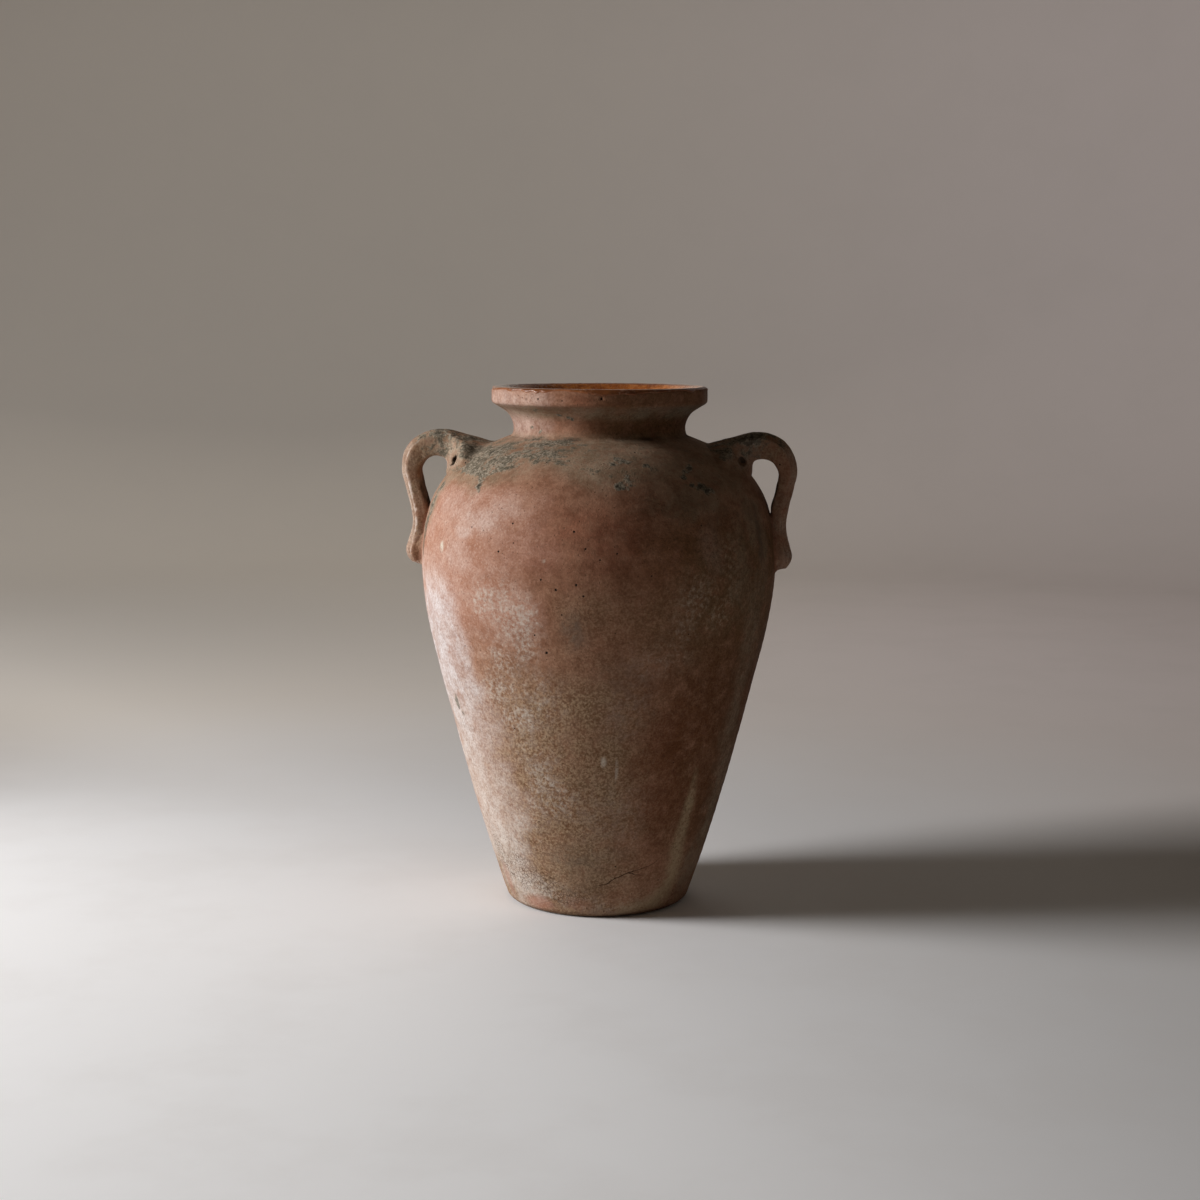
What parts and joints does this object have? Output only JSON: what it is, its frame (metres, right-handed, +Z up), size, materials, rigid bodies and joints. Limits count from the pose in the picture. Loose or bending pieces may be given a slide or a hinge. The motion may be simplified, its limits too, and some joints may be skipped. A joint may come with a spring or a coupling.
{
  "type": "olive jar",
  "caption": "Tall terracotta olive jar with tapering body, round shoulder, short neck, flared banded rim, ear handles on the shoulder and a glazed inside, for storage or display.",
  "frame": {"origin": "centre of the base, on the surface the jar stands on", "axes": "+Z up along the jar's axis, handles on +X and -X, +Y through the plain back"},
  "size_m": [0.3222, 0.287, 0.42],
  "materials": {
    "clay": "matt weathered earthenware, salmon to tan, with pale bloom and grey shoulder stain",
    "handle_clay": "matt weathered earthenware, hand-pulled",
    "slip": "matt luting clay, wiped flush",
    "glaze": "glossy amber-brown glaze"
  },
  "bodies": {
    "root": {"base_disc": "clay", "lower_wall": "clay", "belly_wall": "clay", "shoulder_wall": "clay", "neck_collar": "clay", "rim_coil": "clay", "base_slip_seam": "slip", "lower_slip_seam": "slip", "upper_slip_seam": "slip", "neck_slip_seam": "slip", "rim_slip_seam": "slip", "interior_glaze": "glaze", "rim_glaze": "glaze", "left_handle": "handle_clay", "right_handle": "handle_clay", "left_handle_root_wad": "handle_clay", "right_handle_root_wad": "handle_clay", "left_handle_tail_wad": "handle_clay", "right_handle_tail_wad": "handle_clay"}
  },
  "joints": []
}
